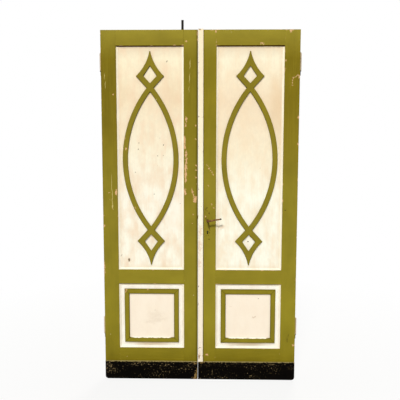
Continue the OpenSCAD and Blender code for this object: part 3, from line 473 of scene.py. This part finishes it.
# Cream paint of the cover strip, rubbed to pinkish wood beside the lever and to brown at its ends
stripLook = {
    **beadLook,
    # darker towards the top: painted shade that evens out the lamp's stronger light there
    "tone": [(0, "#f8eedb"), (700, "#f9f0de"), (1200, "#fbf9e4"), (1700, "#f7eccf"), (2300, "#f5e6c6")],
    "patterns": {**creamLook["patterns"], "streak": (6, 6, 300, 3)}, "streakShare": 0.12,
    "stainShare": 0.15}
stripStain = {
    "deep": "#d8b697", "pale": "#efd8bf", "grit": 11, "reach": 12, "soft": 0.8, "share": 0.7, "sink": 0.1,
    "places": {0: [(0, 1010, 40, 110), (-2, 910, 34, 170), (-4, 800, 24, 110), (-5, 170, 22, 110)]}}
stripWear = {**chipped, "deep": "#6b4a2c", "pale": "#b08a5e", "places": {
    0: [(-10, 1752, 9, 10), (22, 1752, 8, 10), (7, 1174, 5, 7), (-4, 2301, 22, 10), (-4, 160, 10, 44),
        (-10, 2100, 10, 8), (-10, 2030, 4, 14), (20, 168, 6, 20), (-11, 1560, 4, 30), (-11, 1290, 4, 16),
        (-11, 640, 6, 20), (-11, 520, 5, 24), (22, 1530, 4, 20)],
    -12: [(2, 221, 22, 6)]}}
creamStrip = oilPaint("creamOilPaintCoverStrip", stripLook, [stripStain, stripWear])

# Black oil paint of the kick boards, scuffed through to brown and older olive coats
kickLook = {
    "tone": [(0, "#040302"), (124, "#060403")],
    "patterns": {"blotch": (60, 60, 40, 3), "streak": (40, 6, 6, 3), "scuff": (9, 9, 8, 4),
                 "crowd": (110, 110, 50, 3), "shade": (11, 11, 11, 2), "bareGrain": (40, 2.5, 2.5, 3)},
    "blotchShare": 0.3, "streakColour": "#0f0a05", "streakShare": 0.4, "rough": 0.6, "shine": 0.02,
    "scuff": ("#251a0b", "#b29c70"), "scuffFrom": 0.61, "scuffHeight": 124,
    "fleck": {"colour": "#6f5d3a", "apart": 12, "size": 5, "share": 0.03},
}
kickTop = {"deep": "#85784a", "pale": "#b5a56c", "grit": 9, "reach": 4, "soft": 0.8, "share": 1.0,
           "sink": 0.2, "places": {0: [(-325, 125, 4000, 15), (325, 125, 4000, 15)]}}
kickPatch = {**chipped, "deep": "#6b5028", "pale": "#a98c56", "reach": 10, "places": {
    0: [(-31, 8, 38, 26), (-26, 30, 22, 34), (-36, 112, 30, 9), (20, 117, 28, 8)], 10: [(-22, 55, 10, 46)]}}
blackKick = oilPaint("scuffedBlackOilPaint", kickLook, [kickTop, kickPatch])

# Cream paint on iron hinges, chipped to rust
hingeLook = {
    "tone": [(0, "#cdbb9c"), (2300, "#cdbb9c")],
    "patterns": {"blotch": (22, 22, 22, 3), "streak": (4, 4, 14, 3)},
    "blotchShare": 0.1, "streakColour": "#a5855e", "streakShare": 0.6, "rough": 0.5, "shine": 0.3,
    "fleck": {"colour": "#6d4a2c", "apart": 14, "size": 8, "share": 0.3},
}
paintedHinge = oilPaint("chippedPaintOnIron", hingeLook)


# Where film and pits show on metal, and what else all metals share
metalTouch = {"film": (0.38, 0.62), "pits": (0.5, 0.8), "pitShare": 0.5, "roughSpread": 0.1,
              "filmDetail": 5, "fineDetail": 3, "bump": {"Strength": 0.4, "Distance": 0.0003}}


# Bare iron and steel: metal under a brown, black or grey film that scatters the light
def agedMetal(name, look):
    material, tree, shader, coords, fields = newMaterial(name, {
        "film": (look["patch"],) * 3 + (metalTouch["filmDetail"],),
        "fine": (look["grain"],) * 3 + (metalTouch["fineDetail"],)})
    patch = addNode(tree, "ShaderNodeMapRange", {
        "Value": fields["film"], "From Min": metalTouch["film"][0], "From Max": metalTouch["film"][1]})
    pits = addNode(tree, "ShaderNodeMapRange", {
        "Value": fields["fine"], "From Min": metalTouch["pits"][0], "From Max": metalTouch["pits"][1],
        "To Max": metalTouch["pitShare"]})
    layers = [(patch, look["pale"]), (pits, look["fleck"])]
    if "darkFrom" in look:  # blackened end, from that x on
        x = addNode(tree, "ShaderNodeSeparateXYZ", {0: coords})
        start, end = look["darkFrom"]
        burnt = addNode(tree, "ShaderNodeMapRange", {
            "Value": x, "From Min": start / 1000, "From Max": end / 1000})
        layers.append((burnt, look["dark"]))
    colour = look["deep"]
    for mask, over in layers:
        colour = addNode(tree, "ShaderNodeMix", {"data_type": "RGBA", 0: mask, 6: colour, 7: over}, 2)
    spread = metalTouch["roughSpread"]
    rough = addNode(tree, "ShaderNodeMapRange", {
        "Value": fields["film"], "From Min": noiseLow, "From Max": noiseHigh,
        "To Min": look["rough"] - spread, "To Max": look["rough"] + spread})
    bump = addNode(tree, "ShaderNodeBump", {**metalTouch["bump"], "Height": fields["fine"]})
    tree.links.new(colour, shader.inputs["Base Color"])
    tree.links.new(rough, shader.inputs["Roughness"])
    tree.links.new(bump, shader.inputs["Normal"])
    shader.inputs["Metallic"].default_value = look["metal"]
    shader.inputs["Specular IOR Level"].default_value = look["shine"]
    return material


leverIron = agedMetal("brownIron", {
    "deep": "#573717", "pale": "#8a6038", "fleck": "#33230f", "patch": 13, "grain": 4, "rough": 0.6,
    "metal": 0.15, "shine": 0.2, "darkFrom": (127, 133), "dark": "#1a120e"})
boltIron = agedMetal("blackenedIron", {
    "deep": "#0b0908", "pale": "#16120f", "fleck": "#2a2018", "patch": 18, "grain": 4, "rough": 0.6,
    "metal": 0.0, "shine": 0.15})
lockSteel = agedMetal("dullSteel", {
    "deep": "#77726a", "pale": "#98938a", "fleck": "#5d4b38", "patch": 14, "grain": 3, "rough": 0.42,
    "metal": 0.9, "shine": 0.5})
print("materials made")


# A Geometry Nodes tree with its inputs by name, and the modifier that gives it their values
def newGeometryTree(name, inputs, output):
    tree = bpy.data.node_groups.new(name, "GeometryNodeTree")
    for label, kind in inputs.items():
        tree.interface.new_socket(label, in_out="INPUT", socket_type="NodeSocket" + kind)
    tree.interface.new_socket(output, in_out="OUTPUT", socket_type="NodeSocketGeometry")
    return tree, addNode(tree, "NodeGroupInput", {}, None)


def addTree(thing, tree, values):
    modifier = thing.modifiers.new(tree.name, "NODES")
    modifier.node_group = tree
    for socket in tree.interface.items_tree:
        if socket.in_out == "INPUT" and socket.name in values:
            modifier[socket.identifier] = values[socket.name]


# The fretwork's arrises are softened, but not where its lengths meet under the paint: metres
arrisLines = {"Lower Joint": 1.015, "Upper Joint": 1.937, "Middle": panelMiddle / 1000, "Margin": 0.0006,
              "Least Angle": math.radians(40)}
arrisTree, given = newGeometryTree(
    "arrisWeights", {"Fretwork": "Geometry", **dict.fromkeys(arrisLines, "Float")}, "Fretwork")
position = addNode(arrisTree, "GeometryNodeInputPosition", {})
place = addNode(arrisTree, "ShaderNodeSeparateXYZ", {0: position}, None)
fromMiddle = addNode(arrisTree, "ShaderNodeMath", {"operation": "ABSOLUTE", 0: place.outputs[0]})
upward = place.outputs[2]
bend = addNode(arrisTree, "GeometryNodeInputMeshEdgeAngle", {})
weight = addNode(arrisTree, "ShaderNodeMath", {
    "operation": "GREATER_THAN", 0: bend, 1: given.outputs["Least Angle"]})
for along, line in ((upward, "Lower Joint"), (upward, "Upper Joint"), (fromMiddle, "Middle")):
    offset = addNode(arrisTree, "ShaderNodeMath", {
        "operation": "SUBTRACT", 0: along, 1: given.outputs[line]})
    offset = addNode(arrisTree, "ShaderNodeMath", {"operation": "ABSOLUTE", 0: offset})
    clear = addNode(arrisTree, "ShaderNodeMath", {
        "operation": "GREATER_THAN", 0: offset, 1: given.outputs["Margin"]})
    weight = addNode(arrisTree, "ShaderNodeMath", {"operation": "MULTIPLY", 0: weight, 1: clear})
weighted = addNode(arrisTree, "GeometryNodeStoreNamedAttribute", {
    "data_type": "FLOAT", "domain": "EDGE", "Geometry": given.outputs["Fretwork"],
    "Name": "bevel_weight_edge", "Value": weight})
addNode(arrisTree, "NodeGroupOutput", {0: weighted}, None)

# The fretwork's lower sides, marked after the bevel, up to the normal's rise at which the painted shade is
# full
undersideMarks = {"Steepest": -0.4}
undersideTree, given = newGeometryTree(
    "undersideMarks", {"Fretwork": "Geometry", "Steepest": "Float"}, "Fretwork")
normal = addNode(undersideTree, "GeometryNodeInputNormal", {})
facing = addNode(undersideTree, "ShaderNodeSeparateXYZ", {0: normal}, None)
lower = addNode(undersideTree, "ShaderNodeMapRange", {
    "Value": facing.outputs[2], "From Min": 0.0, "From Max": given.outputs["Steepest"]})
marked = addNode(undersideTree, "GeometryNodeStoreNamedAttribute", {
    "data_type": "FLOAT", "domain": "FACE", "Geometry": given.outputs["Fretwork"],
    "Name": "undersideShade", "Value": lower})
addNode(undersideTree, "NodeGroupOutput", {0: marked}, None)

# Each node gets its finish and softened edges, in mm, by the end of its name
finishes = {
    "_hinge": paintedHinge, "_pin": boltIron, "bolt_plate": boltIron, "bolt_bar": boltIron,
    "_lever": leverIron, "kick_board": blackKick, "cover_strip": creamStrip, "_beads": creamBead,
    "left_upper_panel": creamLeftPanel, "right_upper_panel": creamRightPanel,
    "lower_panel": creamLowerPanel, "_rail": greenRail, "_finial": greenFret, "_bow": greenFret,
    "_moulding": greenMoulding, **stileFinish}
edgeRadius = {
    "_stile": 1.2, "_rail": 0.8, "_finial": 2.2, "_bow": 2.2, "_moulding": 0.6, "_beads": 0.6,
    "kick_board": 1.6, "cover_strip": 0.8, "_plate": 0.6, "_bar": 0.8, "_forend": 0.3}
arrisFinish = {"_stile": greenArris, "_finial": greenFretArris, "_bow": greenFretArris}
weldReach, edgeSegments = 0.01, 2  # mm, and a count
for name, node in nodes.items():
    node.data.materials.clear()
    node.data.materials.append(next((f for end, f in finishes.items() if name.endswith(end)), lockSteel))
    radius = next((r for end, r in edgeRadius.items() if name.endswith(end)), 0)
    if radius:
        isFretwork = name.endswith(("_finial", "_bow"))
        node.modifiers.new("weld", "WELD").merge_threshold = weldReach / 1000
        if isFretwork:
            addTree(node, arrisTree, arrisLines)
        bevel = node.modifiers.new("softEdge", "BEVEL")
        bevel.width = radius / 1000
        bevel.segments = edgeSegments
        bevel.limit_method = "WEIGHT" if isFretwork else "ANGLE"
        bevel.angle_limit = arrisLines["Least Angle"]
        for end, finish in arrisFinish.items():
            if name.endswith(end):
                node.data.materials.append(finish)
                bevel.material = 1
        if isFretwork:
            addTree(node, undersideTree, undersideMarks)
print("nodes painted")

# Slotted screws in the iron, and painted screws that hold the hinge blades: mm and the way each faces
screwLook = {"Head Width": 7.0, "Head Height": 1.0, "Slot Width": 1.1, "Slot Depth": 0.7}
sunkScrew = {"Head Height": 0.4, "Slot Depth": 0.35}
paintedScrew = {"Head Height": 0.7, "Slot Depth": 0.3}
hingeRows = (335, 381, 2085, 2131)
screwSets = {
    "boltScrews": {
        "body": "left_leaf", "slot": "black_iron", "finish": boltIron, "facing": (0, 1, 0), "sizes": {},
        "at": [(x, 23, z) for x in (-129.5, -98.5) for z in (27, 73, 2227, 2273)]},
    "strikeScrews": {
        "body": "left_leaf", "slot": "lock_steel", "finish": lockSteel, "facing": (1, 0, 0),
        "sizes": sunkScrew, "at": [(-14, 0, 1001), (-14, 0, 1126)]},
    "forendScrews": {
        "body": "right_leaf", "slot": "lock_steel", "finish": lockSteel, "facing": (-1, 0, 0),
        "sizes": sunkScrew, "at": [(-11, 0, 946), (-11, 0, 1152)]},
    "leftHingeScrews": {
        "body": "left_leaf", "slot": "painted_iron", "finish": paintedHinge, "facing": (0, 1, 0),
        "sizes": paintedScrew, "at": [(x, 20, z) for x in (-618, -594) for z in hingeRows]},
    "rightHingeScrews": {
        "body": "right_leaf", "slot": "painted_iron", "finish": paintedHinge, "facing": (0, 1, 0),
        "sizes": paintedScrew, "at": [(x, 20, z) for x in (618, 594) for z in hingeRows]},
}
screwCrown, screwSides, screwSeed = 0.36, 20, 4  # the crown's radius is a share of the head's width
screwTree, given = newGeometryTree("slottedScrews", {
    "Places": "Geometry", **dict.fromkeys(screwLook, "Float"), "Facing": "Vector", "Seed": "Int",
    "Finish": "Material"}, "Screws")
headWidth, headHeight = given.outputs["Head Width"], given.outputs["Head Height"]
halfWidth = addNode(screwTree, "ShaderNodeMath", {"operation": "MULTIPLY", 0: headWidth, 1: 0.5})
crown = addNode(screwTree, "ShaderNodeMath", {"operation": "MULTIPLY", 0: headWidth, 1: screwCrown})
head = addNode(screwTree, "GeometryNodeMeshCone", {
    "Vertices": screwSides, "Radius Top": crown, "Radius Bottom": halfWidth, "Depth": headHeight})
slotDeep = addNode(screwTree, "ShaderNodeMath", {
    "operation": "MULTIPLY", 0: given.outputs["Slot Depth"], 1: 2.0})  # half of the block stands out
slotSize = addNode(screwTree, "ShaderNodeCombineXYZ", {
    0: headWidth, 1: given.outputs["Slot Width"], 2: slotDeep})
slotPlace = addNode(screwTree, "ShaderNodeCombineXYZ", {2: headHeight})
slotBlock = addNode(screwTree, "GeometryNodeMeshCube", {"Size": slotSize})
slotCut = addNode(screwTree, "GeometryNodeTransform", {"Geometry": slotBlock, "Translation": slotPlace})
slotted = addNode(screwTree, "GeometryNodeMeshBoolean", {"operation": "DIFFERENCE", 0: head, 1: slotCut})
upright = addNode(screwTree, "FunctionNodeAlignRotationToVector", {
    "axis": "Z", "Vector": given.outputs["Facing"]})
spin = addNode(screwTree, "FunctionNodeRandomValue", {
    "data_type": "FLOAT", 2: 0.0, 3: math.pi, "Seed": given.outputs["Seed"]}, 1)
spun = addNode(screwTree, "FunctionNodeAxisAngleToRotation", {"Axis": (0, 0, 1), "Angle": spin})
turned = addNode(screwTree, "FunctionNodeRotateRotation", {"rotation_space": "LOCAL", 0: upright, 1: spun})
driven = addNode(screwTree, "GeometryNodeInstanceOnPoints", {
    "Points": given.outputs["Places"], "Instance": slotted, "Rotation": turned})
realized = addNode(screwTree, "GeometryNodeRealizeInstances", {0: driven})
finished = addNode(screwTree, "GeometryNodeSetMaterial", {
    "Geometry": realized, "Material": given.outputs["Finish"]})
addNode(screwTree, "NodeGroupOutput", {0: finished}, None)

for name, look in screwSets.items():
    places = bpy.data.meshes.new(name)
    places.from_pydata([[v / 1000 for v in at] for at in look["at"]], [], [])
    screws = bpy.data.objects.new(name, places)
    scene.collection.objects.link(screws)
    sizes = {size: mm / 1000 for size, mm in {**screwLook, **look["sizes"]}.items()}
    addTree(screws, screwTree, {
        **sizes, "Facing": look["facing"], "Seed": screwSeed, "Finish": look["finish"]})
    made = bpy.data.meshes.new_from_object(screws.evaluated_get(bpy.context.evaluated_depsgraph_get()))
    screws.modifiers.clear()
    screws.data = made
    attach(screws, look["body"])
print("screws made:", len(screwSets), "sets")


def seenDirectly(tree):  # rays that show a surface, straight or in metal and glass
    ray = addNode(tree, "ShaderNodeLightPath", {}, None)
    mirrored = addNode(tree, "ShaderNodeMath", {
        "operation": "MAXIMUM", 0: ray.outputs["Is Glossy Ray"], 1: ray.outputs["Is Transmission Ray"]})
    return addNode(tree, "ShaderNodeMath", {
        "operation": "MAXIMUM", 0: ray.outputs["Is Camera Ray"], 1: mirrored})


# Pale floor that turns to plain white away from the doors, so that the contact shadow stays: metres
floorLook = {"size": 40.0, "drop": 0.0005, "colour": "#d0cec8", "rough": 0.9, "nearShare": 0.86,
             "farShare": 1.0, "from": 0.7, "to": 3.0}
bpy.ops.mesh.primitive_plane_add(size=floorLook["size"], location=(0, 0, -floorLook["drop"]))
floor = bpy.context.object
floor.name = "paleFloor"
floorPaint, tree, shader, coords, _ = newMaterial("paleFloorPaint", {})
shader.inputs["Base Color"].default_value = linear(floorLook["colour"])
shader.inputs["Roughness"].default_value = floorLook["rough"]
away = addNode(tree, "ShaderNodeVectorMath", {"operation": "LENGTH", 0: coords}, "Value")
plain = addNode(tree, "ShaderNodeMapRange", {
    "Value": away, "From Min": floorLook["from"], "From Max": floorLook["to"],
    "To Min": floorLook["nearShare"], "To Max": floorLook["farShare"]})
share = addNode(tree, "ShaderNodeMath", {"operation": "MULTIPLY", 0: seenDirectly(tree), 1: plain})
glow = addNode(tree, "ShaderNodeEmission", {"Color": pureWhite, "Strength": 1.0})
mixed = addNode(tree, "ShaderNodeMixShader", {0: share, 1: shader.outputs[0], 2: glow})
tree.links.new(mixed, next(n for n in tree.nodes if n.type == "OUTPUT_MATERIAL").inputs[0])
floor.data.materials.append(floorPaint)

# Soft even light from the room, a large lamp high in front, a little to the left, and one behind: metres
lightLook = {"fill": 0.28, "fillTint": (1, 0.99, 0.97, 1), "lampTint": (1.0, 0.98, 0.95),
             "aim": (0, 0, 1.15)}
lamps = {
    "softKey": {"power": 6700, "size": 4.0, "at": (-4.0, -21.8, 20.0)},
    "softRear": {"power": 1500, "size": 5.0, "at": (3.0, 12.0, 10.0)},
}
world = bpy.data.worlds.new("paleStudio")
scene.world = world
world.use_nodes = True
tree = world.node_tree
tree.nodes.clear()
soft = addNode(tree, "ShaderNodeBackground", {
    "Color": lightLook["fillTint"], "Strength": lightLook["fill"]})
white = addNode(tree, "ShaderNodeBackground", {"Color": pureWhite, "Strength": 1.0})
sky = addNode(tree, "ShaderNodeMixShader", {0: seenDirectly(tree), 1: soft, 2: white})
addNode(tree, "ShaderNodeOutputWorld", {0: sky}, None)

for name, look in lamps.items():
    lamp = bpy.data.lights.new(name, "AREA")
    lamp.energy = look["power"]
    lamp.size = look["size"]
    lamp.color = lightLook["lampTint"]
    lampObject = bpy.data.objects.new(name, lamp)
    lampObject.location = look["at"]
    aim = Vector(lightLook["aim"]) - lampObject.location
    lampObject.rotation_euler = aim.to_track_quat("-Z", "Y").to_euler()
    scene.collection.objects.link(lampObject)

# Camera place and lens in mm and turns in degrees, found from the leaves' edges
cameraLook = {"at": (75, -3530, 1576), "down": 5.864, "left": 1.219, "roll": -0.081, "lens": 48.6,
              "sensor": 36}
camera = bpy.data.cameras.new("frontView")
camera.lens = cameraLook["lens"]
camera.sensor_width = cameraLook["sensor"]
cameraObject = bpy.data.objects.new("frontView", camera)
cameraObject.location = [v / 1000 for v in cameraLook["at"]]
cameraObject.rotation_euler = [
    math.radians(v) for v in (90 - cameraLook["down"], cameraLook["roll"], cameraLook["left"])]
scene.collection.objects.link(cameraObject)
scene.camera = cameraObject
scene.view_settings.view_transform = "Standard"
print("stage set")
